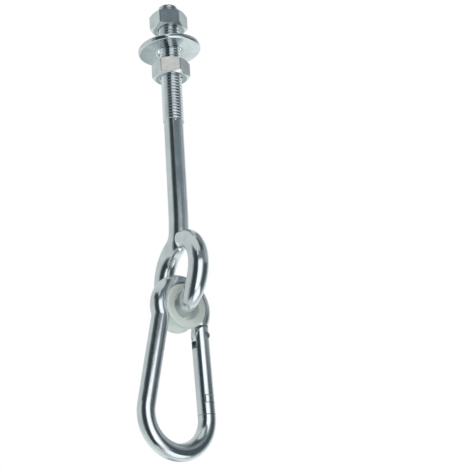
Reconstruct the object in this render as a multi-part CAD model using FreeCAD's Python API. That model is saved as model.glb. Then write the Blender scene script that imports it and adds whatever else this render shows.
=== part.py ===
import FreeCAD, Part
import math
import os

from FreeCAD import Placement, Rotation, Vector

os.makedirs("parts", exist_ok=True)

# Swing hook for a hammock: a threaded eye bolt, two nuts and a washer that
# clamp a beam, a nylon bush on the eye and a snap hook that swings on it.
# Millimetres. +Z is up along the bolt, the eye lies in the YZ plane and the
# origin is on the bolt axis at the top face of the lower nut, where the
# underside of the beam sits.

# Bolt
thread_diameter = 10.0
thread_length = 61.7
thread_end_chamfer = 1.0
rod_diameter = 9.15
thread_step = 0.6
bolt_end_height = 30.5
bush_drop = 124.0

# Eye, bent from the same rod
eye_radius = 16.15
eye_offset = -2.75
eye_lean_angle = 4.2
lean_bend_radius = 150.0
neck_radius = 6.2
cut_end_gap = 0.3
cut_end_chamfer = 0.5

# Nuts
nut_across_flats = 16.0
nut_height = 8.4
nut_corner_diameter = 18.3
nut_face_diameter = 15.2
nut_countersink = 0.5
thread_fit = 0.05
clamp_height = 17.4
top_nut_turn = 5.0

# Washer, lying loose and a little tilted on the thread
washer_diameter = 30.0
washer_hole = 11.5
washer_thickness = 2.5
washer_edge_round = 0.4
washer_height = 6.0
washer_tilt_angle_x = -2.0
washer_tilt_angle_y = -3.5
washer_side_gap = 0.35

# Snap hook, bent from round wire
wire_diameter = 8.0
leg_splay = 7.5
bottom_radius = 16.0
hook_depth = 64.7
crimp_radius = 4.8

# Bush
bush_bore = 12.4
bush_wall = 1.3
bush_flange_diameter = 20.3
bush_width = 10.3
bush_groove_clearance = 0.1
bush_rim_round = 0.4
bore_mouth_round = 1.0
bush_seat_gap = 0.45

# Gate and its hinge
rivet_drop = 4.6
rivet_offset = 0.9
rivet_diameter = 3.1
rivet_dome = 0.4
rivet_clearance = 0.05
knuckle_offset = 0.45
knuckle_gap = 0.5
knuckle_taper = 2.5
tang_thickness = 2.8
slot_width = 3.2
gate_slot_depth = 5.6
nose_foot = 0.5
gate_opening = 28.0

# Nose: a tongue with a cross head that the gate's notch drops over
notch_inset = 8.5
notch_length = 3.6
notch_floor = -2.4
nose_gap = 0.3

# Spring and plunger inside the gate
boss_radius = 2.5
cam_radius = 2.95
cam_offset = 1.5
plunger_diameter = 2.9
plunger_length = 5.0
plunger_clearance = 0.1
spring_bore = 3.2
spring_bore_share = 0.61
spring_wire = 0.45
spring_pitch = 1.15

# How the hook hangs in the photograph
hook_twist = 6.8
hook_swing = 5.5

# Values that follow from the sizes above
rod_radius = rod_diameter / 2
wire_radius = wire_diameter / 2
groove_radius = bush_bore / 2 + bush_wall
head_radius = groove_radius + wire_radius
bush_half = bush_width / 2
slot_half = slot_width / 2
tang_half = tang_thickness / 2

Z_AXIS = Vector(0, 0, 1)
Y_AXIS = Vector(0, 1, 0)
X_AXIS = Vector(1, 0, 0)


def export(shape, name):
    """Write one node, checked to be a valid closed shape."""
    if not shape.isValid():
        raise ValueError(name + " is not a valid shape")
    shape.exportStep("parts/" + name + ".step")
    print(name, len(shape.Solids), round(shape.Volume, 2))


def polar(centre, radius, degrees):
    """Point of the XZ plane at an angle measured from +X towards +Z."""
    turn = math.radians(degrees)
    return centre + Vector(radius * math.cos(turn), 0, radius * math.sin(turn))


def round_bar(start, end, radius):
    """Straight piece of round bar between two points."""
    run = end - start
    return Part.makeCylinder(radius, run.Length, start, run)


def bent_bar(centre, start, axis, degrees, radius):
    """Round bar bent about an axis through the centre, from the start point."""
    along = axis.cross(start - centre)
    section = Part.Face(Part.Wire(Part.Circle(start, along, radius).toShape()))
    return section.revolve(centre, axis, degrees)


def turned(profile, axis_point, axis):
    """Solid of revolution from a closed list of points or edges."""
    return Part.Face(Part.Wire(profile)).revolve(axis_point, axis, 360)


def join(shapes):
    """One solid from pieces that meet, with the seams between like faces removed."""
    return shapes[0].multiFuse(shapes[1:]).removeSplitter()


def block(x0, x1, y_half, z0, z1):
    """Box between two X and two Z values, centred on the XZ plane."""
    corner = Vector(min(x0, x1), -y_half, min(z0, z1))
    return Part.makeBox(abs(x1 - x0), 2 * y_half, abs(z1 - z0), corner)


# Eye bolt
# The rod comes down the Z axis, leans a little to one side, bends out at the
# neck and goes once round the eye, until its cut end nearly meets the shank
# again. The neck and the eye are drawn upright, from the neck's start, and
# then leaned.
eye_inner = eye_radius - rod_radius
bore_bearing_half = bush_half - bore_mouth_round / 2
rod_rise = math.sqrt(eye_inner ** 2 - bore_bearing_half ** 2)
eye_above_bush = bush_bore / 2 - bush_seat_gap + rod_rise
neck_reach = eye_radius + neck_radius
neck_height = math.sqrt(neck_reach ** 2 - (neck_radius - eye_offset) ** 2)
neck_turn = math.degrees(math.acos((neck_radius - eye_offset) / neck_reach))
neck_start = Vector(0, 0, 0)
neck_centre = Vector(0, neck_radius, 0)
eye_centre = Vector(0, eye_offset, -neck_height)
eye_start = eye_centre + (neck_centre - eye_centre) * (eye_radius / neck_reach)

cut_end_reach = (rod_radius + cut_end_gap + eye_offset) / (eye_radius + rod_radius)
cut_end_angle = math.degrees(math.asin(cut_end_reach))
eye_turn = 360 - cut_end_angle - (90 - neck_turn)
cut_end_along = math.radians(cut_end_angle)
cut_end = eye_centre + Vector(0, -math.sin(cut_end_along), math.cos(cut_end_along)) * eye_radius
cut_end_run = Vector(0, math.cos(cut_end_along), math.sin(cut_end_along))

thread_start = bolt_end_height - thread_length

# The lean starts where a wide bend leaves the Z axis, and ends in the frame
# of the neck and the eye.
lean = math.radians(eye_lean_angle)
lean_reach = lean_bend_radius * math.tan(lean / 2)
neck_top = (neck_height + eye_above_bush) * math.cos(lean) - bush_drop
lean_start = Vector(0, 0, neck_top + lean_reach * (1 + math.cos(lean)))
lean_centre = lean_start - Vector(lean_bend_radius, 0, 0)
eye_frame = Placement(Vector(-lean_reach * math.sin(lean), 0, neck_top),
                      Rotation(Y_AXIS, eye_lean_angle))


def make_eye_bolt():
    """Threaded shank and eye, one bent and rolled bar."""
    shank = round_bar(lean_start, Vector(0, 0, thread_start), rod_radius)
    lean_bend = bent_bar(lean_centre, lean_start, Y_AXIS, eye_lean_angle, rod_radius)
    step = Part.makeCone(rod_radius, thread_diameter / 2, thread_step,
                         Vector(0, 0, thread_start), Z_AXIS)
    thread_top = bolt_end_height - thread_end_chamfer
    thread = round_bar(Vector(0, 0, thread_start + thread_step),
                       Vector(0, 0, thread_top), thread_diameter / 2)
    tip = Part.makeCone(thread_diameter / 2, thread_diameter / 2 - thread_end_chamfer,
                        thread_end_chamfer, Vector(0, 0, thread_top), Z_AXIS)
    neck = bent_bar(neck_centre, neck_start, X_AXIS, neck_turn, rod_radius)
    eye = bent_bar(eye_centre, eye_start, X_AXIS, -eye_turn, rod_radius)
    bend = join([neck, eye])
    rim = [edge for edge in bend.Edges
           if abs((edge.CenterOfMass - cut_end).dot(cut_end_run)) < cut_end_chamfer / 10
           and (edge.CenterOfMass - cut_end).Length < rod_radius / 2]
    bend = bend.makeChamfer(cut_end_chamfer, rim)
    bend.Placement = eye_frame
    return join([shank, lean_bend, step, thread, tip, bend])


# Nuts and washer
def make_nut(base_height, turn):
    """Hexagon nut with turned corners and a countersunk thread hole."""
    corner = nut_across_flats / math.sqrt(3)
    points = [polar(Vector(0, 0, 0), corner, 60 * side + 30 + turn) for side in range(7)]
    points = [Vector(point.x, point.z, base_height) for point in points]
    body = Part.Face(Part.makePolygon(points)).extrude(Z_AXIS * nut_height)
    edge = nut_corner_diameter / 2
    face = nut_face_diameter / 2
    slope = (edge - face) * math.tan(math.radians(30))
    top = base_height + nut_height
    profile = Part.makePolygon([
        Vector(0, 0, base_height), Vector(face, 0, base_height),
        Vector(edge, 0, base_height + slope), Vector(edge, 0, top - slope),
        Vector(face, 0, top), Vector(0, 0, top), Vector(0, 0, base_height)])
    body = body.common(turned(profile, Vector(0, 0, 0), Z_AXIS))
    hole_radius = thread_diameter / 2 + thread_fit
    sink_radius = hole_radius + nut_countersink
    hole = Part.makeCylinder(hole_radius, nut_height, Vector(0, 0, base_height))
    lower_sink = Part.makeCone(sink_radius, hole_radius, nut_countersink,
                               Vector(0, 0, base_height), Z_AXIS)
    upper_sink = Part.makeCone(hole_radius, sink_radius, nut_countersink,
                               Vector(0, 0, top - nut_countersink), Z_AXIS)
    return body.cut(join([hole, lower_sink, upper_sink]))


def make_washer():
    """Flat washer, leaning on the thread between the two nuts."""
    ring = Part.makeCylinder(washer_diameter / 2, washer_thickness)
    ring = ring.makeFillet(washer_edge_round, ring.Edges[:1] + ring.Edges[2:])
    ring = ring.cut(Part.makeCylinder(washer_hole / 2, washer_thickness))
    ring.translate(Vector(0, 0, -washer_thickness / 2))
    ring.rotate(Vector(0, 0, 0), Y_AXIS, washer_tilt_angle_y)
    ring.rotate(Vector(0, 0, 0), X_AXIS, washer_tilt_angle_x)
    lean = (washer_hole - thread_diameter) / 2 - washer_side_gap
    ring.translate(Vector(0, lean, washer_height + washer_thickness / 2))
    return ring


# Bush
# Modelled with its axis along Y and its centre at the origin of the hook.
def make_bush():
    """Nylon spool whose round groove holds the wire of the hook's head."""
    flange = bush_flange_diameter / 2
    bore = bush_bore / 2
    mouth = bore_mouth_round
    rim = bush_rim_round
    groove = wire_radius + bush_groove_clearance
    groove_half = math.sqrt(groove ** 2 - (head_radius - flange) ** 2)
    floor = Vector(head_radius - groove, 0, 0)

    def corner(centre_x, centre_y, radius, toward):
        """Quarter arc from one tangent point to the other."""
        middle = Vector(centre_x, centre_y, 0) + toward * (radius * math.sqrt(0.5))
        first = Vector(centre_x + toward.x * radius, centre_y, 0)
        last = Vector(centre_x, centre_y + toward.y * radius, 0)
        return first, middle, last

    lower = corner(bore + mouth, -bush_half + mouth, mouth, Vector(-1, -1, 0))
    lower_rim = corner(flange - rim, -bush_half + rim, rim, Vector(1, -1, 0))
    upper_rim = corner(flange - rim, bush_half - rim, rim, Vector(1, 1, 0))
    upper = corner(bore + mouth, bush_half - mouth, mouth, Vector(-1, 1, 0))
    low_lip = Vector(flange, -groove_half, 0)
    high_lip = Vector(flange, groove_half, 0)
    edges = [
        Part.Arc(*lower).toShape(),
        Part.LineSegment(lower[2], lower_rim[2]).toShape(),
        Part.Arc(lower_rim[2], lower_rim[1], lower_rim[0]).toShape(),
        Part.LineSegment(lower_rim[0], low_lip).toShape(),
        Part.Arc(low_lip, floor, high_lip).toShape(),
        Part.LineSegment(high_lip, upper_rim[0]).toShape(),
        Part.Arc(*upper_rim).toShape(),
        Part.LineSegment(upper_rim[2], upper[2]).toShape(),
        Part.Arc(upper[2], upper[1], upper[0]).toShape(),
        Part.LineSegment(upper[0], lower[0]).toShape()]
    return turned(edges, Vector(0, 0, 0), Y_AXIS)


# Snap hook
# Built hanging straight down in its own XZ plane with the bush at the origin
# and the gate on the +X side. The legs run from the crimps under the bush to
# the bottom bend.
splay = math.radians(leg_splay)
bottom_centre = Vector(0, 0, bottom_radius - hook_depth)
leg_normal = Vector(math.cos(splay), 0, math.sin(splay))
leg_down = Vector(math.sin(splay), 0, -math.cos(splay))
leg_reach = bottom_radius - (bottom_radius - hook_depth) * -math.sin(splay)
crimp_reach = leg_reach + crimp_radius
crimp_run = math.sqrt((head_radius + crimp_radius) ** 2 - crimp_reach ** 2)
crimp_centre = leg_normal * crimp_reach + leg_down * crimp_run
leg_top = crimp_centre - leg_normal * crimp_radius
head_end = crimp_centre * (head_radius / (head_radius + crimp_radius))
head_end_angle = math.degrees(math.atan2(head_end.z, head_end.x))
crimp_turn = math.degrees((leg_top - crimp_centre).getAngle(head_end - crimp_centre))
leg_bottom = bottom_centre + leg_normal * bottom_radius

# The gate's own frame: Z up along the gate's leg, X outwards, and its origin
# on the leg's centre line level with the rivet.
gate_origin = leg_top + leg_down * rivet_drop
gate_frame = Placement(gate_origin, Rotation(Y_AXIS, -leg_splay))
knuckle_radius = wire_radius
shoulder_height = knuckle_radius + knuckle_gap
nose_shoulder = (leg_bottom - gate_origin).Length - nose_foot
gate_length = nose_shoulder - nose_gap
notch_start = gate_length - notch_inset
spring_bore_depth = (notch_start - gate_slot_depth) * spring_bore_share
half_opening = math.radians(gate_opening / 2)
cam_x = rivet_offset - cam_offset * math.cos(half_opening)
cam_z = cam_offset * math.sin(half_opening)
plunger_top = cam_z - cam_radius - plunger_clearance


def mirrored(shape):
    """The same shape on the spine's side of the hook."""
    return shape.mirror(Vector(0, 0, 0), X_AXIS)


def gate_round(top, bottom):
    """Full round section of the gate's leg between two heights of its frame."""
    return round_bar(Vector(0, 0, bottom), Vector(0, 0, top), wire_radius)


def make_tang():
    """Flat tang of the hook's heel, with the cam that moves the plunger."""
    web = block(-wire_radius, wire_radius, tang_half, 0, shoulder_height)
    boss = Part.makeCylinder(boss_radius, tang_thickness,
                             Vector(rivet_offset, -tang_half, 0), Y_AXIS)
    cam = Part.makeCylinder(cam_radius, tang_thickness, Vector(cam_x, -tang_half, cam_z), Y_AXIS)
    flank = block(cam_x - cam_radius, rivet_offset + boss_radius, tang_half, cam_z, shoulder_height)
    envelope = gate_round(shoulder_height, -gate_slot_depth)
    upper = web.common(block(cam_x - cam_radius, wire_radius, tang_half, cam_z, shoulder_height))
    tang = join([upper, flank, boss, cam]).common(envelope)
    hole = Part.makeCylinder(rivet_diameter / 2 + rivet_clearance, wire_diameter,
                             Vector(rivet_offset, -wire_radius, 0), Y_AXIS)
    return tang.cut(hole)


def make_nose():
    """Tongue and cross head that stand on the lower end of the wire."""
    head_top = -notch_start - nose_gap
    head_bottom = -notch_start - notch_length + nose_gap
    inner = notch_floor + nose_gap
    tongue_half = slot_half - nose_gap
    head = block(inner, wire_radius, wire_radius, head_bottom, head_top)
    tongue = block(inner, wire_radius, tongue_half, -nose_shoulder, head_top)
    return join([head, tongue]).common(gate_round(head_top, -nose_shoulder))


def make_hook_body():
    """The bent wire of the hook with its tang and its nose."""
    origin = Vector(0, 0, 0)
    head_start = polar(origin, head_radius, head_end_angle)
    head = bent_bar(origin, head_start, Y_AXIS, -(180 - 2 * head_end_angle), wire_radius)
    crimp = bent_bar(crimp_centre, leg_top, Y_AXIS, crimp_turn, wire_radius)
    spine = round_bar(leg_top, leg_bottom, wire_radius)
    bottom = bent_bar(bottom_centre, leg_bottom, Y_AXIS, 180 + 2 * leg_splay, wire_radius)
    nose_foot = gate_origin + leg_down * nose_shoulder
    foot = round_bar(nose_foot, leg_bottom, wire_radius)
    tang = make_tang()
    nose = make_nose()
    tang.Placement = gate_frame
    nose.Placement = gate_frame
    tang_root = round_bar(leg_top, leg_top + leg_down * (rivet_drop - shoulder_height), wire_radius)
    return join([head, crimp, mirrored(crimp), mirrored(spine), bottom, foot,
                 tang_root, tang, nose])


def make_gate():
    """Round gate, slotted over the tang and notched over the nose."""
    bar = gate_round(knuckle_radius, -gate_length)
    knuckle = Part.makeCylinder(knuckle_radius, wire_diameter,
                                Vector(knuckle_offset, -wire_radius, 0), Y_AXIS)
    inner = knuckle_offset - knuckle_radius
    flank = Part.makePolygon([
        Vector(inner, -wire_radius, 0), Vector(wire_radius, -wire_radius, 0),
        Vector(wire_radius, -wire_radius, -knuckle_taper),
        Vector(-wire_radius, -wire_radius, -knuckle_taper),
        Vector(inner, -wire_radius, 0)])
    flank = Part.Face(flank).extrude(Y_AXIS * wire_diameter)
    rest = block(-wire_radius, wire_radius, wire_radius, -knuckle_taper, -gate_length)
    gate = bar.common(join([knuckle, flank, rest]))
    tang_slot = block(-wire_diameter, wire_diameter, slot_half, wire_diameter, -gate_slot_depth)
    notch_end = -notch_start - notch_length
    notch = block(notch_floor, wire_diameter, wire_diameter, -notch_start, notch_end)
    nose_slot = block(notch_floor, wire_diameter, slot_half, notch_end, -gate_length - wire_radius)
    rivet_hole = Part.makeCylinder(rivet_diameter / 2 + rivet_clearance, wire_diameter * 2,
                                   Vector(rivet_offset, -wire_diameter, 0), Y_AXIS)
    bore = Part.makeCylinder(spring_bore / 2, spring_bore_depth,
                             Vector(0, 0, -gate_slot_depth - spring_bore_depth))
    return gate.cut(join([tang_slot, rivet_hole, bore])).cut(join([notch, nose_slot]))


def make_rivet():
    """Rivet through the gate's cheeks and the tang, with rounded ends."""
    length = 2 * (math.sqrt(wire_radius ** 2 - rivet_offset ** 2) + rivet_dome)
    rivet = Part.makeCylinder(rivet_diameter / 2, length,
                              Vector(rivet_offset, -length / 2, 0), Y_AXIS)
    rims = [edge for edge in rivet.Edges if abs(edge.CenterOfMass.y) > length / 3]
    return rivet.makeFillet(rivet_dome, rims)


def make_plunger():
    """Pin with chamfered ends that the spring presses against the cam."""
    radius = plunger_diameter / 2
    pin = Part.makeCylinder(radius, plunger_length, Vector(0, 0, plunger_top - plunger_length))
    return pin.makeChamfer(radius / 5, [pin.Edges[0], pin.Edges[2]])


def make_spring():
    """Coil spring between the plunger and the bottom of the gate's bore."""
    bottom = -gate_slot_depth - spring_bore_depth
    top = plunger_top - plunger_length
    coil_radius = spring_bore / 2 - spring_wire / 2 - plunger_clearance
    rise = top - bottom - spring_wire - 2 * plunger_clearance
    turns = max(1, round(rise / spring_pitch))
    helix = Part.makeHelix(rise / turns, rise, coil_radius)
    section = Part.Circle(Vector(coil_radius, 0, 0), Y_AXIS, spring_wire / 2).toShape()
    coil = Part.Wire(helix.Edges).makePipeShell([Part.Wire(section)], True, True)
    coil.translate(Vector(0, 0, bottom + spring_wire / 2 + plunger_clearance))
    return coil


# Hang the hook from the eye
# The hook turns by its swing about the bush, then by its twist about the
# vertical through the bush.
bush_centre = eye_frame.multVec(eye_centre - Vector(0, 0, eye_above_bush))
hang = Placement(bush_centre, Rotation(Z_AXIS, hook_twist).multiply(Rotation(Y_AXIS, hook_swing)))


def hung(shape, frame=None):
    """Place a piece of the hook, given in the hook's or the gate's frame."""
    shape = shape.copy()
    shape.Placement = hang.multiply(frame or Placement()).multiply(shape.Placement)
    return shape


export(make_eye_bolt(), "eye_bolt")
export(make_nut(-nut_height, 0), "lower_nut")
export(make_nut(clamp_height, top_nut_turn), "top_nut")
export(make_washer(), "washer")
export(hung(make_bush()), "bush")
export(hung(make_hook_body()), "hook_body")
export(hung(make_gate(), gate_frame), "gate")
export(hung(make_rivet(), gate_frame), "gate_rivet")
export(hung(make_plunger(), gate_frame), "gate_plunger")
export(hung(make_spring(), gate_frame), "gate_spring")
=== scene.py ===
"""Hammock hook: threaded eye bolt with nuts and washer, and a snap hook that swings on a nylon bush.

The bolt, its nuts and its washer are modelled here around the CAD frame. The snap hook, its gate
and the bush keep their CAD shapes and are dressed. Lengths are in metres, in the frame's own axes.
"""

import logging
import math
from dataclasses import dataclass
from enum import Enum
from typing import Callable

import bpy
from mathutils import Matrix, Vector


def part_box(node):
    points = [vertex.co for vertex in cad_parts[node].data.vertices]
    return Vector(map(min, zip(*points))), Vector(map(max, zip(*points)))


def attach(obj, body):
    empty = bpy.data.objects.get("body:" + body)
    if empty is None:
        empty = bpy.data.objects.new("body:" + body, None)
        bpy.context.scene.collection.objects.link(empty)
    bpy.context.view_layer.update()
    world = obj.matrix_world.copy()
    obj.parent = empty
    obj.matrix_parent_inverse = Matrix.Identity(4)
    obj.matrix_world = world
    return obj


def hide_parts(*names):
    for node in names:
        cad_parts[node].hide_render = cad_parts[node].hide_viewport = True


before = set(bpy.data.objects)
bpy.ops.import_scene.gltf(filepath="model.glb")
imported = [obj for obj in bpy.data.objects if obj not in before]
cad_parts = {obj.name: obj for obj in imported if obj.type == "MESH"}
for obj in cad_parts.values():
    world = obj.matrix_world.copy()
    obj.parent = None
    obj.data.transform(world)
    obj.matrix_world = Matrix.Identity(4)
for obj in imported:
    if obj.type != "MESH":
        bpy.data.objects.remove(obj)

LOG = logging.getLogger("hammock_hook")
MM = 0.001
CUT_MARGIN = 0.1 * MM
Colour = tuple[float, float, float]


class Operand(Enum):
    """How a second shape changes a first one."""

    UNION = "UNION"
    DIFFERENCE = "DIFFERENCE"
    INTERSECT = "INTERSECT"


# Modelling steps


def pick_only(piece: bpy.types.Object) -> None:
    """Select one object and make it the active one.

    Args:
        piece: The object to work on next.
    """
    bpy.ops.object.select_all(action="DESELECT")
    piece.select_set(True)
    bpy.context.view_layer.objects.active = piece


def start_edit(piece: bpy.types.Object, mode: str = "VERT") -> None:
    """Open a piece in edit mode with nothing selected.

    Args:
        piece: The object to edit.
        mode: Kind of element to select: VERT, EDGE or FACE.
    """
    pick_only(piece)
    bpy.ops.object.mode_set(mode="EDIT")
    bpy.ops.mesh.select_mode(type=mode)
    bpy.ops.mesh.select_all(action="DESELECT")


def select_faces(piece: bpy.types.Object, test: Callable[[bpy.types.MeshPolygon], bool]) -> int:
    """Select the faces that pass a test, from edit mode, and stay there.

    Args:
        piece: The object in edit mode.
        test: Says whether a face is selected.

    Returns:
        How many faces are selected.
    """
    bpy.ops.object.mode_set(mode="OBJECT")
    count = 0
    for face in piece.data.polygons:
        face.select = test(face)
        count += face.select
    bpy.ops.object.mode_set(mode="EDIT")
    return count


def end_edit() -> None:
    """Turn every face outwards and go back to object mode."""
    bpy.ops.mesh.select_all(action="SELECT")
    bpy.ops.mesh.normals_make_consistent(inside=False)
    bpy.ops.object.mode_set(mode="OBJECT")


def combine(piece: bpy.types.Object, tool: bpy.types.Object, how: Operand) -> None:
    """Apply a second shape to a piece and remove the second shape.

    Args:
        piece: The shape that stays.
        tool: The shape that is used up.
        how: Union, difference or intersection.
    """
    pick_only(piece)
    change = piece.modifiers.new("Combine", "BOOLEAN")
    change.operation = how.value
    change.solver = "EXACT"
    change.object = tool
    bpy.ops.object.modifier_apply(modifier=change.name)
    bpy.data.objects.remove(tool)


def soften_edges(piece: bpy.types.Object, width: float, angle: float, segments: int = 2) -> None:
    """Round the sharp edges of a piece a little.

    Args:
        piece: The object to change.
        width: Width of the rounding, in metres.
        angle: Edges sharper than this are rounded, in degrees.
        segments: Steps across the rounding.
    """
    pick_only(piece)
    change = piece.modifiers.new("Soften", "BEVEL")
    change.width = width
    change.segments = segments
    change.limit_method = "ANGLE"
    change.angle_limit = math.radians(angle)
    change.harden_normals = False
    bpy.ops.object.modifier_apply(modifier=change.name)


def settle(
        piece: bpy.types.Object, name: str, smooth_angle: float = 35.0,
        flat: bool = False) -> bpy.types.Object:
    """Name a piece, put its place into its mesh and smooth its curved faces.

    Args:
        piece: The finished object.
        name: Name of the piece.
        smooth_angle: Edges flatter than this are shaded smooth, in degrees.
        flat: Whether large faces keep their own normal beside small roundings.

    Returns:
        The same object.
    """
    pick_only(piece)
    bpy.ops.object.transform_apply(location=True, rotation=True, scale=True)
    bpy.ops.object.shade_smooth_by_angle(angle=math.radians(smooth_angle))
    if flat:
        even = piece.modifiers.new("Even", "WEIGHTED_NORMAL")
        even.keep_sharp = True
        even.weight = 100
        bpy.ops.object.modifier_apply(modifier=even.name)
    piece.name = name
    piece.data.name = name
    return piece


def dress(piece: bpy.types.Object, material: bpy.types.Material) -> None:
    """Give a piece one material all over.

    Args:
        piece: The object to dress.
        material: Its finish.
    """
    piece.data.materials.clear()
    piece.data.materials.append(material)


def hand_over(piece: bpy.types.Object, node: str, body: str) -> None:
    """Let a piece stand for a CAD node and move with its body.

    Args:
        piece: The finished piece.
        node: CAD node that it replaces.
        body: Body that it rides on.
    """
    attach(piece, body)
    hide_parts(node)
    LOG.info("%s: %d faces, rides on %s", piece.name, len(piece.data.polygons), body)


# Finishes


class Shader:
    """A material under construction, with short ways to add and join nodes."""

    def __init__(self, name: str) -> None:
        """Start an empty material.

        Args:
            name: Name of the material.
        """
        self.material = bpy.data.materials.new(name)
        self.material.use_nodes = True
        self.tree = self.material.node_tree
        self.tree.nodes.clear()
        self.output = self.tree.nodes.new("ShaderNodeOutputMaterial")

    def add(self, kind: str, values: dict[str, object] | None = None, **settings: object) -> bpy.types.Node:
        """Add one node.

        Args:
            kind: Type of the node, without its ShaderNode prefix.
            values: Constant values of its inputs, by name.
            **settings: Properties of the node itself.

        Returns:
            The new node.
        """
        node = self.tree.nodes.new("ShaderNode" + kind)
        for key, value in settings.items():
            setattr(node, key, value)
        for key, value in (values or {}).items():
            node.inputs[key].default_value = value
        return node

    def join(self, source: bpy.types.Node, output: str, target: bpy.types.Node, socket: str) -> None:
        """Link an output of one node to an input of another.

        Args:
            source: Node that gives the value.
            output: Name of its output.
            target: Node that takes the value.
            socket: Name of its input.
        """
        self.tree.links.new(source.outputs[output], target.inputs[socket])

    def noise(
            self, place: bpy.types.Node, scale: float, detail: float,
            roughness: float = 0.5) -> bpy.types.Node:
        """Add a noise texture in object coordinates.

        Args:
            place: Texture Coordinate or Mapping node.
            scale: Scale of the pattern, per metre.
            detail: Octaves of the pattern.
            roughness: Weight of the fine octaves.

        Returns:
            The noise node.
        """
        texture = self.add("TexNoise", {"Scale": scale, "Detail": detail, "Roughness": roughness})
        output = "Object" if place.bl_idname == "ShaderNodeTexCoord" else "Vector"
        self.join(place, output, texture, "Vector")
        return texture

    def ramp(
            self, source: bpy.types.Node, output: str, low: Colour, high: Colour,
            span: tuple[float, float]) -> bpy.types.Node:
        """Add a two-colour ramp after a value.

        Args:
            source: Node that gives the value.
            output: Name of its output.
            low: Colour at and below the span's start.
            high: Colour at and above the span's end.
            span: Values between which the colours blend.

        Returns:
            The ramp node.
        """
        node = self.add("ValToRGB")
        for stop, place, colour in zip(node.color_ramp.elements, span, (low, high)):
            stop.position = place
            stop.color = (*colour, 1.0)
        self.join(source, output, node, "Fac")
        return node

    def spread(
            self, source: bpy.types.Node, output: str, span: tuple[float, float],
            low: float, high: float) -> bpy.types.Node:
        """Add a node that maps one range of values to another.

        Args:
            source: Node that gives the value.
            output: Name of its output.
            span: Range of the value that is used.
            low: Result at the start of the range.
            high: Result at the end of the range.

        Returns:
            The Map Range node.
        """
        node = self.add("MapRange", {"From Min": span[0], "From Max": span[1], "To Min": low, "To Max": high})
        self.join(source, output, node, "Value")
        return node


@dataclass(frozen=True)
class PlatedSteel:
    """Zinc-plated steel: cool grey metal with faint clouds, spangle and fine marks."""

    name: str
    light: Colour
    dark: Colour
    smooth: float
    rough: float
    cloud_scale: float = 160.0
    grain_scale: float = 2600.0
    grain_depth: float = 0.000004

    def material(self) -> bpy.types.Material:
        """Build the material.

        Returns:
            The finished material.
        """
        shader = Shader(self.name)
        place = shader.add("TexCoord")
        clouds = shader.noise(place, self.cloud_scale, 3.0)
        colour = shader.ramp(clouds, "Fac", self.dark, self.light, (0.38, 0.62))
        haze = shader.noise(place, self.cloud_scale * 2.3, 4.0, 0.6)
        gloss = shader.spread(haze, "Fac", (0.35, 0.7), self.smooth, self.rough)
        grain = shader.noise(place, self.grain_scale, 2.0)
        bump = shader.add("Bump", {"Strength": 0.35, "Distance": self.grain_depth})
        shader.join(grain, "Fac", bump, "Height")
        metal = shader.add("BsdfPrincipled", {"Metallic": 1.0})
        shader.join(colour, "Color", metal, "Base Color")
        shader.join(gloss, "Result", metal, "Roughness")
        shader.join(bump, "Normal", metal, "Normal")
        shader.join(metal, "BSDF", shader.output, "Surface")
        return shader.material


@dataclass(frozen=True)
class NaturalNylon:
    """Undyed nylon: milky, a little translucent, with a satin moulded surface."""

    name: str
    light: Colour
    dark: Colour
    smooth: float = 0.55
    rough: float = 0.68
    milkiness: float = 0.5
    clearness: float = 0.55
    refraction: float = 1.3

    def material(self) -> bpy.types.Material:
        """Build the material.

        Returns:
            The finished material.
        """
        shader = Shader(self.name)
        place = shader.add("TexCoord")
        clouds = shader.noise(place, 220.0, 2.0)
        colour = shader.ramp(clouds, "Fac", self.dark, self.light, (0.35, 0.65))
        haze = shader.noise(place, 900.0, 3.0)
        gloss = shader.spread(haze, "Fac", (0.3, 0.7), self.smooth, self.rough)
        bump = shader.add("Bump", {"Strength": 0.25, "Distance": 0.00002})
        shader.join(haze, "Fac", bump, "Height")
        body = shader.add("BsdfPrincipled", {
            "Subsurface Weight": self.milkiness, "Subsurface Radius": (0.004, 0.0042, 0.004),
            "Subsurface Scale": 1.0, "Transmission Weight": self.clearness, "IOR": self.refraction})
        shader.join(colour, "Color", body, "Base Color")
        shader.join(gloss, "Result", body, "Roughness")
        shader.join(bump, "Normal", body, "Normal")
        shader.join(body, "BSDF", shader.output, "Surface")
        return shader.material


BRIGHT_STEEL = PlatedSteel("bright_zinc", (0.74, 0.78, 0.80), (0.66, 0.70, 0.73), 0.13, 0.20)
SATIN_STEEL = PlatedSteel("satin_zinc", (0.72, 0.77, 0.78), (0.62, 0.67, 0.68), 0.12, 0.18)
RIVET_STEEL = PlatedSteel("rivet_zinc", (0.55, 0.58, 0.58), (0.40, 0.42, 0.42), 0.12, 0.20)
SPRING_STEEL = PlatedSteel("spring_wire", (0.55, 0.55, 0.54), (0.42, 0.42, 0.41), 0.22, 0.30)
NYLON = NaturalNylon("natural_nylon", (0.93, 1.0, 0.955), (0.88, 0.96, 0.91))


# The bolt and what is threaded on it


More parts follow.
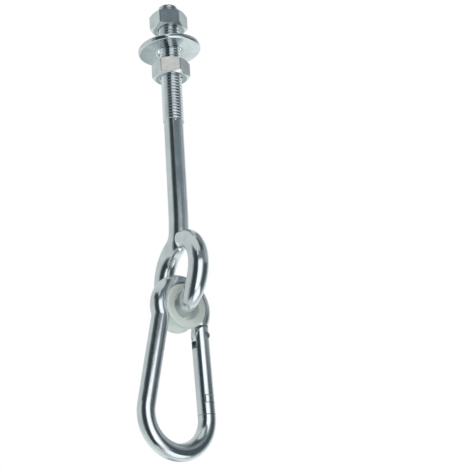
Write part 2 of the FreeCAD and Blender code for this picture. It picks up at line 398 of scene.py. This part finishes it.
@dataclass
class EyeBolt:
    """Rod with a rolled thread at the top and a closed, slightly leaning eye bent at the bottom."""

    rod_radius: float = 4.575 * MM
    thread_radius: float = 5.0 * MM
    thread_root: float = 4.16 * MM
    pitch: float = 1.5 * MM
    profile_steps: int = 12
    thread_facets: int = 72
    thread_start: float = -31.2 * MM
    end_chamfer: float = 2.6 * MM
    eye_radius: float = 16.15 * MM
    eye_offset: float = -2.75 * MM
    lean: float = math.radians(4.2)
    lean_bend_radius: float = 150.0 * MM
    neck_radius: float = 6.2 * MM
    cut_end_gap: float = 0.3 * MM
    cut_end_round: float = 0.45 * MM
    collar: float = 1.0 * MM
    facets: int = 96

    def build(self) -> bpy.types.Object:
        """Model the bolt.

        Returns:
            The finished piece.
        """
        low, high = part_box("eye_bolt")
        eye_height = low.z + self.rod_radius + self.eye_radius * math.cos(self.lean)
        bolt = self.bent_rod(eye_height)
        combine(bolt, self.thread(high.z), Operand.UNION)
        return settle(bolt, "eye_bolt_rolled", 58.0)

    def bent_rod(self, eye_height: float) -> bpy.types.Object:
        """Model the shank, the neck and the eye as one bent bar.

        Args:
            eye_height: Height of the middle of the eye.

        Returns:
            The bar.
        """
        reach = self.eye_radius + self.neck_radius
        side = self.neck_radius - self.eye_offset
        drop = math.sqrt(reach**2 - side**2)
        neck_turn = math.acos(side / reach)
        gap = (self.rod_radius + self.cut_end_gap + self.eye_offset) / (self.eye_radius + self.rod_radius)
        eye_turn = math.radians(270.0) - math.asin(gap) + neck_turn
        bend_reach = self.lean_bend_radius * math.tan(self.lean / 2)
        along = Vector((math.sin(self.lean), 0.0, math.cos(self.lean)))
        across = (math.cos(self.lean), 0.0, -math.sin(self.lean))
        kink = Vector((0.0, 0.0, eye_height + (drop + bend_reach) * along.z))
        neck_top = kink - along * bend_reach
        neck_middle = neck_top + Vector((0.0, self.neck_radius, 0.0))
        eye_middle = neck_top - along * drop + Vector((0.0, self.eye_offset, 0.0))
        lean_middle = kink + Vector((-self.lean_bend_radius, 0.0, bend_reach))
        top = self.thread_start + self.pitch / 5
        bpy.ops.object.select_all(action="DESELECT")
        bpy.ops.mesh.primitive_circle_add(
            vertices=self.facets, radius=self.rod_radius, fill_type="NGON", location=(0.0, 0.0, top))
        rod = bpy.context.active_object
        pick_only(rod)
        bpy.ops.object.transform_apply(location=True)
        start_edit(rod, "FACE")
        bpy.ops.mesh.select_all(action="SELECT")
        for rise in (-self.collar, lean_middle.z - top + self.collar):
            bpy.ops.mesh.extrude_region_move(TRANSFORM_OT_translate={"value": (0.0, 0.0, rise)})
        bpy.ops.mesh.spin(steps=6, angle=-self.lean, center=lean_middle, axis=(0.0, 1.0, 0.0))
        bpy.ops.mesh.spin(steps=20, angle=-neck_turn, center=neck_middle, axis=across)
        bpy.ops.mesh.spin(steps=120, angle=eye_turn, center=eye_middle, axis=across)
        bpy.ops.mesh.region_to_loop()
        bpy.ops.mesh.bevel(offset=self.cut_end_round, segments=4)
        end_edit()
        return rod

    def thread(self, end: float) -> bpy.types.Object:
        """Model the rolled thread as a solid, chamfered at its end.

        Args:
            end: Height of the bolt's end.

        Returns:
            The threaded part of the bolt.
        """
        turns = math.ceil((end - self.thread_start) / self.pitch) + 3
        depth = self.thread_radius - self.thread_root
        bottom = self.thread_start - 1.5 * self.pitch
        bpy.ops.object.select_all(action="DESELECT")
        bpy.ops.mesh.primitive_plane_add(size=MM, location=(self.thread_root, 0.0, bottom))
        piece = bpy.context.active_object
        pick_only(piece)
        bpy.ops.object.transform_apply(location=True)
        start_edit(piece)
        bpy.ops.mesh.select_all(action="SELECT")
        bpy.ops.mesh.merge(type="CENTER")
        wave = [
            depth * (1 - math.cos(math.tau * step / self.profile_steps)) / 2
            for step in range(self.profile_steps + 1)]
        for last, height in zip(wave, wave[1:]):
            rise = self.pitch / self.profile_steps
            bpy.ops.mesh.extrude_region_move(TRANSFORM_OT_translate={"value": (height - last, 0.0, rise)})
        bpy.ops.object.mode_set(mode="OBJECT")
        screw = piece.modifiers.new("Roll", "SCREW")
        screw.angle = math.radians(360.0)
        screw.screw_offset = self.pitch
        screw.iterations = turns
        screw.steps = self.thread_facets
        screw.render_steps = self.thread_facets
        screw.use_merge_vertices = True
        screw.merge_threshold = self.pitch / 1000
        bpy.ops.object.modifier_apply(modifier=screw.name)
        start_edit(piece)
        bpy.ops.mesh.select_all(action="SELECT")
        bpy.ops.mesh.remove_doubles(threshold=self.pitch / 1000)
        bpy.ops.mesh.bisect(
            plane_co=(0.0, 0.0, self.thread_start), plane_no=(0.0, 0.0, 1.0), use_fill=True, clear_inner=True)
        bpy.ops.mesh.select_all(action="SELECT")
        bpy.ops.mesh.bisect(
            plane_co=(0.0, 0.0, end), plane_no=(0.0, 0.0, 1.0), use_fill=True, clear_outer=True)
        end_edit()
        combine(piece, self.turning_blank(end), Operand.INTERSECT)
        return piece

    def turning_blank(self, end: float) -> bpy.types.Object:
        """Model the chamfered outline that the thread is cut back to.

        Args:
            end: Height of the bolt's end.

        Returns:
            The outline's solid.
        """
        bottom = self.thread_start - self.pitch
        bpy.ops.object.select_all(action="DESELECT")
        bpy.ops.mesh.primitive_cylinder_add(
            vertices=self.facets, radius=self.thread_radius + CUT_MARGIN, depth=end - bottom,
            location=(0.0, 0.0, (end + bottom) / 2))
        blank = bpy.context.active_object
        pick_only(blank)
        bpy.ops.object.transform_apply(location=True)
        start_edit(blank, "FACE")
        select_faces(blank, lambda face: face.normal.z > 0.5)
        bpy.ops.mesh.region_to_loop()
        bpy.ops.mesh.bevel(offset=self.end_chamfer, segments=6, profile=0.5)
        end_edit()
        return blank


@dataclass
class HexNut:
    """Hexagon nut with turned corners, softened edges and a countersunk hole."""

    node: str
    turn: float = 0.0
    across_flats: float = 16.0 * MM
    corner_radius: float = 9.12 * MM
    face_radius: float = 7.45 * MM
    chamfer_angle: float = math.radians(33.0)
    hole_radius: float = 5.03 * MM
    countersink: float = 0.55 * MM
    edge_round: float = 0.14 * MM
    facets: int = 96

    def build(self) -> bpy.types.Object:
        """Model the nut in its place on the thread.

        Returns:
            The finished piece.
        """
        low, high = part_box(self.node)
        height = high.z - low.z
        middle = (high.z + low.z) / 2
        bpy.ops.object.select_all(action="DESELECT")
        bpy.ops.mesh.primitive_cylinder_add(
            vertices=6, radius=self.across_flats / math.sqrt(3.0), depth=height,
            location=(0.0, 0.0, middle), rotation=(0.0, 0.0, math.radians(self.turn)))
        nut = bpy.context.active_object
        pick_only(nut)
        bpy.ops.object.transform_apply(location=True, rotation=True)
        combine(nut, self.turned_outline(height, middle), Operand.INTERSECT)
        combine(nut, self.hole(height, middle), Operand.DIFFERENCE)
        soften_edges(nut, self.edge_round, 24.0)
        return settle(nut, self.node + "_chamfered", 30.0, flat=True)

    def turned_outline(self, height: float, middle: float) -> bpy.types.Object:
        """Model the turned body that rounds the nut's corners.

        Args:
            height: Height of the nut.
            middle: Height of its middle.

        Returns:
            The outline's solid.
        """
        slope = (self.corner_radius - self.face_radius) * math.tan(self.chamfer_angle)
        return self.stack(middle - height / 2, (
            (self.face_radius, 0.0), (self.corner_radius, slope),
            (self.corner_radius, height - 2 * slope), (self.face_radius, slope)))

    def hole(self, height: float, middle: float) -> bpy.types.Object:
        """Model the hole with a countersink at both ends.

        Args:
            height: Height of the nut.
            middle: Height of its middle.

        Returns:
            The hole's solid.
        """
        rise = self.countersink + CUT_MARGIN
        wide = self.hole_radius + rise
        return self.stack(middle - height / 2 - CUT_MARGIN, (
            (wide, 0.0), (self.hole_radius, rise),
            (self.hole_radius, height - 2 * self.countersink), (wide, rise)))

    def stack(self, base: float, rings: tuple[tuple[float, float], ...]) -> bpy.types.Object:
        """Model a turned solid by extruding a disc upwards and scaling it at each step.

        Args:
            base: Height of the lowest ring.
            rings: Radius of each ring and its rise above the one before.

        Returns:
            The solid.
        """
        bpy.ops.object.select_all(action="DESELECT")
        bpy.ops.mesh.primitive_circle_add(
            vertices=self.facets, radius=rings[0][0], fill_type="NGON", location=(0.0, 0.0, base))
        solid = bpy.context.active_object
        pick_only(solid)
        bpy.ops.object.transform_apply(location=True)
        start_edit(solid, "FACE")
        bpy.ops.mesh.select_all(action="SELECT")
        for (last, _), (radius, rise) in zip(rings, rings[1:]):
            bpy.ops.mesh.extrude_region_move(TRANSFORM_OT_translate={"value": (0.0, 0.0, rise)})
            ratio = radius / last
            bpy.ops.transform.resize(value=(ratio, ratio, 1.0), center_override=(0.0, 0.0, 0.0))
        end_edit()
        return solid


@dataclass
class FlatWasher:
    """Punched washer with rounded rims, leaning on the thread."""

    radius: float = 15.0 * MM
    hole_radius: float = 5.75 * MM
    thickness: float = 2.5 * MM
    edge_round: float = 0.9 * MM
    tilt_x: float = -2.0
    tilt_y: float = -3.5
    facets: int = 128

    def build(self) -> bpy.types.Object:
        """Model the washer in its place.

        Returns:
            The finished piece.
        """
        low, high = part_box("washer")
        middle = (low + high) / 2
        bpy.ops.object.select_all(action="DESELECT")
        bpy.ops.mesh.primitive_cylinder_add(vertices=self.facets, radius=self.radius, depth=self.thickness)
        washer = bpy.context.active_object
        start_edit(washer, "FACE")
        select_faces(washer, lambda face: abs(face.normal.z) > 0.5)
        bpy.ops.mesh.inset(thickness=self.radius - self.hole_radius)
        bpy.ops.mesh.bridge_edge_loops()
        end_edit()
        soften_edges(washer, self.edge_round, 40.0, 5)
        washer.location = middle
        washer.rotation_mode = "YXZ"
        washer.rotation_euler = (math.radians(self.tilt_x), math.radians(self.tilt_y), 0.0)
        return settle(washer, "washer_punched", flat=True)


# Surroundings


@dataclass(frozen=True)
class PhotoView:
    """Camera at the photograph's place, for a square image."""

    azimuth: float
    elevation: float
    roll: float
    target_x: float
    target_y: float
    pixels_per_mm: float
    depth_rate: float
    image: float = 470.0
    sensor: float = 36.0

    def axes(self) -> tuple[Vector, Vector, Vector]:
        """Work out the camera's right, up and back directions.

        Returns:
            The three unit vectors.
        """
        turn, tip, lean = (math.radians(value) for value in (self.azimuth, self.elevation, self.roll))
        back = Vector((math.sin(turn) * math.cos(tip), -math.cos(turn) * math.cos(tip), math.sin(tip)))
        right = Vector((math.cos(turn), math.sin(turn), 0.0))
        up = back.cross(right)
        across = right * math.cos(lean) + up * math.sin(lean)
        upright = up * math.cos(lean) - right * math.sin(lean)
        return across, upright, back

    def place(self, target: Vector) -> bpy.types.Object:
        """Create the camera.

        Args:
            target: Point that appears at the target pixel.

        Returns:
            The camera.
        """
        right, up, back = self.axes()
        middle = self.image / 2
        distance = MM / self.depth_rate
        scale = MM / self.pixels_per_mm
        where = (
            target + back * distance - right * (self.target_x - middle) * scale
            + up * (self.target_y - middle) * scale)
        data = bpy.data.cameras.new("photo_camera")
        data.sensor_width = self.sensor
        data.lens = self.sensor * distance / (self.image * scale)
        data.clip_start = 0.01
        data.clip_end = 50.0
        camera = bpy.data.objects.new("photo_camera", data)
        bpy.context.scene.collection.objects.link(camera)
        basis = camera.matrix_world.copy()
        for column, axis in enumerate((right, up, back)):
            for row in range(3):
                basis[row][column] = axis[row]
        basis.translation = where
        camera.matrix_world = basis
        bpy.context.scene.camera = camera
        LOG.info("camera at %s, lens %.1f mm", tuple(round(value, 4) for value in where), data.lens)
        return camera


@dataclass(frozen=True)
class Card:
    """Curved studio card, a patch of a sphere, that only reflections see.

    A card at about half a metre shows in some pieces and not in others, and one at 3 m shows in all.
    """

    name: str
    left: float
    right: float
    bottom: float
    top: float
    shade: Colour
    distance: float = 3.0
    step: float = 6.0

    def build(self, front: float) -> None:
        """Model the card around the object.

        Args:
            front: Direction of the camera, in degrees from the X axis.
        """
        start = math.radians(front + self.left)
        rise = math.radians(self.bottom)
        where = Vector((math.cos(rise) * math.cos(start), math.cos(rise) * math.sin(start), math.sin(rise)))
        bpy.ops.object.select_all(action="DESELECT")
        bpy.ops.mesh.primitive_plane_add(size=MM, location=where * self.distance)
        card = bpy.context.active_object
        pick_only(card)
        bpy.ops.object.transform_apply(location=True)
        start_edit(card)
        bpy.ops.mesh.select_all(action="SELECT")
        bpy.ops.mesh.merge(type="CENTER")
        self.sweep(self.top - self.bottom, (-math.sin(start), math.cos(start), 0.0))
        bpy.ops.mesh.select_all(action="SELECT")
        self.sweep(self.left - self.right, (0.0, 0.0, 1.0))
        bpy.ops.object.mode_set(mode="OBJECT")
        card.name = self.name
        shader = Shader(self.name)
        glow = shader.add("Emission", {"Color": (*self.shade, 1.0), "Strength": 1.0})
        shader.join(glow, "Emission", shader.output, "Surface")
        dress(card, shader.material)
        card.visible_camera = False
        card.visible_diffuse = False
        card.visible_transmission = False
        card.visible_shadow = False

    def sweep(self, degrees: float, axis: tuple[float, float, float]) -> None:
        """Sweep what is selected about an axis through the origin.

        Args:
            degrees: Angle of the sweep.
            axis: Direction of the axis.
        """
        steps = max(2, round(abs(degrees) / self.step))
        bpy.ops.mesh.spin(steps=steps, angle=math.radians(degrees), center=(0.0, 0.0, 0.0), axis=axis)


@dataclass
class Studio:
    """Plain pale floor, white surroundings, soft lamps and the cards that the metal reflects."""

    front: float
    floor_height: float = -1.1
    floor_glow: float = 0.6
    surround_light: float = 0.62
    key_power: float = 6.0
    fill_power: float = 12.0
    lamp_size: float = 0.9
    cards: tuple[Card, ...] = ()

    def build(self) -> None:
        """Set up everything around the object."""
        self.world()
        self.floor()
        self.lamp("key_lamp", (-0.9, -1.1, 1.3), self.key_power)
        self.lamp("fill_lamp", (-1.3, -0.4, 0.0), self.fill_power)
        for card in self.cards:
            card.build(self.front)
        settings = bpy.context.scene.view_settings
        settings.view_transform = "Standard"

    def world(self) -> None:
        """Make the surroundings white to the eye and in reflections, and softer as light."""
        world = bpy.data.worlds.new("studio_world")
        bpy.context.scene.world = world
        world.use_nodes = True
        tree = world.node_tree
        tree.nodes.clear()
        output = tree.nodes.new("ShaderNodeOutputWorld")
        mix = tree.nodes.new("ShaderNodeMixShader")
        seen = tree.nodes.new("ShaderNodeBackground")
        seen.inputs["Color"].default_value = (1.0, 1.0, 1.0, 1.0)
        seen.inputs["Strength"].default_value = 1.0
        light = tree.nodes.new("ShaderNodeBackground")
        light.inputs["Color"].default_value = (0.97, 0.985, 1.0, 1.0)
        light.inputs["Strength"].default_value = self.surround_light
        path = tree.nodes.new("ShaderNodeLightPath")
        first = tree.nodes.new("ShaderNodeMath")
        first.operation = "MAXIMUM"
        second = tree.nodes.new("ShaderNodeMath")
        second.operation = "MAXIMUM"
        tree.links.new(path.outputs["Is Camera Ray"], first.inputs[0])
        tree.links.new(path.outputs["Is Glossy Ray"], first.inputs[1])
        tree.links.new(first.outputs["Value"], second.inputs[0])
        tree.links.new(path.outputs["Is Transmission Ray"], second.inputs[1])
        tree.links.new(second.outputs["Value"], mix.inputs["Fac"])
        tree.links.new(light.outputs["Background"], mix.inputs[1])
        tree.links.new(seen.outputs["Background"], mix.inputs[2])
        tree.links.new(mix.outputs["Shader"], output.inputs["Surface"])

    def floor(self) -> None:
        """Lay a wide floor below the hanging hook, which the camera sees as partly glowing."""
        bpy.ops.object.select_all(action="DESELECT")
        bpy.ops.mesh.primitive_circle_add(
            vertices=96, radius=6.0, fill_type="NGON", location=(0.0, 0.0, self.floor_height))
        floor = bpy.context.active_object
        floor.name = "pale_floor"
        shader = Shader("pale_floor")
        place = shader.add("TexCoord")
        fleck = shader.noise(place, 30.0, 2.0)
        colour = shader.ramp(fleck, "Fac", (0.90, 0.90, 0.90), (0.93, 0.93, 0.93), (0.3, 0.7))
        paint = shader.add("BsdfPrincipled", {"Roughness": 0.8})
        shader.join(colour, "Color", paint, "Base Color")
        glow = shader.add("Emission", {"Color": (0.96, 0.96, 0.96, 1.0), "Strength": 1.0})
        seen = shader.add("LightPath")
        share = shader.add("MapRange", {"To Max": self.floor_glow})
        shader.join(seen, "Is Camera Ray", share, "Value")
        mix = shader.add("MixShader")
        shader.join(share, "Result", mix, "Fac")
        shader.tree.links.new(paint.outputs["BSDF"], mix.inputs[1])
        shader.tree.links.new(glow.outputs["Emission"], mix.inputs[2])
        shader.join(mix, "Shader", shader.output, "Surface")
        dress(floor, shader.material)
        floor.visible_glossy = False

    def lamp(self, name: str, where: tuple[float, float, float], power: float) -> None:
        """Add a soft lamp that points at the object.

        Args:
            name: Name of the lamp.
            where: Its place.
            power: Its power, in watts.
        """
        data = bpy.data.lights.new(name, "AREA")
        data.shape = "SQUARE"
        data.size = self.lamp_size
        data.energy = power
        lamp = bpy.data.objects.new(name, data)
        bpy.context.scene.collection.objects.link(lamp)
        lamp.location = where
        aim = Vector((0.0, 0.0, -0.09)) - Vector(where)
        lamp.rotation_euler = aim.to_track_quat("-Z", "Y").to_euler()
        lamp.visible_camera = False
        lamp.visible_glossy = False


VIEW = PhotoView(-32.174, -20.089, -3.867, 180.361, 308.841, 2.253, 0.0017)
CARDS = (
    Card("surround", -180.0, 180.0, -89.0, 89.0, (0.66, 0.70, 0.69), 4.0),
    Card("dark_middle", -45.0, -4.0, -64.0, 44.0, (0.04, 0.053, 0.062), 3.0),
    Card("dark_edge", -58.0, -45.0, -64.0, 46.0, (0.27, 0.30, 0.30), 3.1),
    Card("dark_upper_left", -62.0, -45.0, 28.0, 46.0, (0.07, 0.09, 0.1), 2.9),
    Card("dark_upper_edge", -74.0, -62.0, 28.0, 46.0, (0.3, 0.33, 0.33), 2.9),
    Card("dark_low", -4.0, 14.0, -78.0, -32.0, (0.07, 0.09, 0.11), 3.1),
    Card("grey_strip", -4.0, 7.0, -32.0, 44.0, (0.17, 0.19, 0.2), 3.2),
    Card("window", 4.0, 44.0, -56.0, 12.0, (1.35, 1.4, 1.42), 0.55),
    Card("window_edge", 44.0, 53.0, -56.0, 10.0, (0.75, 0.78, 0.8), 0.56),
    Card("low_window", 38.0, 112.0, -74.0, -40.0, (1.3, 1.36, 1.38), 3.0),
    Card("dark_side", 60.0, 108.0, -40.0, 12.0, (0.08, 0.10, 0.11), 3.1),
    Card("dark_side_edge", 46.0, 124.0, -44.0, 14.0, (0.27, 0.30, 0.31), 3.2),
    Card("grey_band", 7.0, 62.0, 14.0, 44.0, (0.165, 0.205, 0.23), 3.3),
    Card("grey_band_right", 62.0, 88.0, 12.0, 44.0, (0.25, 0.285, 0.30), 3.3),
    Card("grey_band_far", 88.0, 132.0, 14.0, 44.0, (0.42, 0.45, 0.46), 3.3),
    Card("dark_ceiling", 38.0, 88.0, 42.0, 86.0, (0.075, 0.095, 0.1), 3.2),
    Card("grey_ceiling", 88.0, 160.0, 44.0, 80.0, (0.26, 0.28, 0.28), 3.4),
    Card("pale_back", 138.0, 178.5, -80.0, 44.0, (0.92, 0.96, 0.97), 3.5),
    Card("grey_back", 178.5, 196.0, -50.0, -8.0, (0.45, 0.52, 0.52), 3.4),
    Card("pale_left", -170.0, -112.0, -70.0, -4.0, (0.86, 0.92, 0.90), 3.5),
    Card("warm_lamp", -9.0, 7.0, 24.0, 43.0, (0.92, 0.87, 0.83), 0.55),
)


def dress_frame(bright: bpy.types.Material) -> None:
    """Give the CAD nodes that stay visible their finishes.

    Args:
        bright: Finish of the hook and its gate.
    """
    rivet = RIVET_STEEL.material()
    finishes = {
        "hook_body": bright, "gate": bright, "gate_rivet": rivet, "gate_plunger": rivet,
        "gate_spring": SPRING_STEEL.material(), "bush": NYLON.material()}
    for name, material in finishes.items():
        dress(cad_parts[name], material)
        LOG.info("%s: CAD shape dressed in %s", name, material.name)


def main() -> None:
    """Build every piece, the surroundings and the camera."""
    logging.basicConfig(level=logging.INFO, format="%(message)s")
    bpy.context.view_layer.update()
    bright = BRIGHT_STEEL.material()
    dress_frame(bright)
    satin = SATIN_STEEL.material()
    bolt = EyeBolt().build()
    dress(bolt, bright)
    hand_over(bolt, "eye_bolt", "bolt")
    for nut_maker in (HexNut("lower_nut"), HexNut("top_nut", turn=5.0)):
        nut = nut_maker.build()
        dress(nut, satin)
        hand_over(nut, nut_maker.node, "bolt")
    washer = FlatWasher().build()
    dress(washer, satin)
    hand_over(washer, "washer", "bolt")
    low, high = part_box("bush")
    target = (low + high) / 2
    VIEW.place(target)
    back = VIEW.axes()[2]
    Studio(front=math.degrees(math.atan2(back.y, back.x)), cards=CARDS).build()


if __name__ == "__main__":
    main()
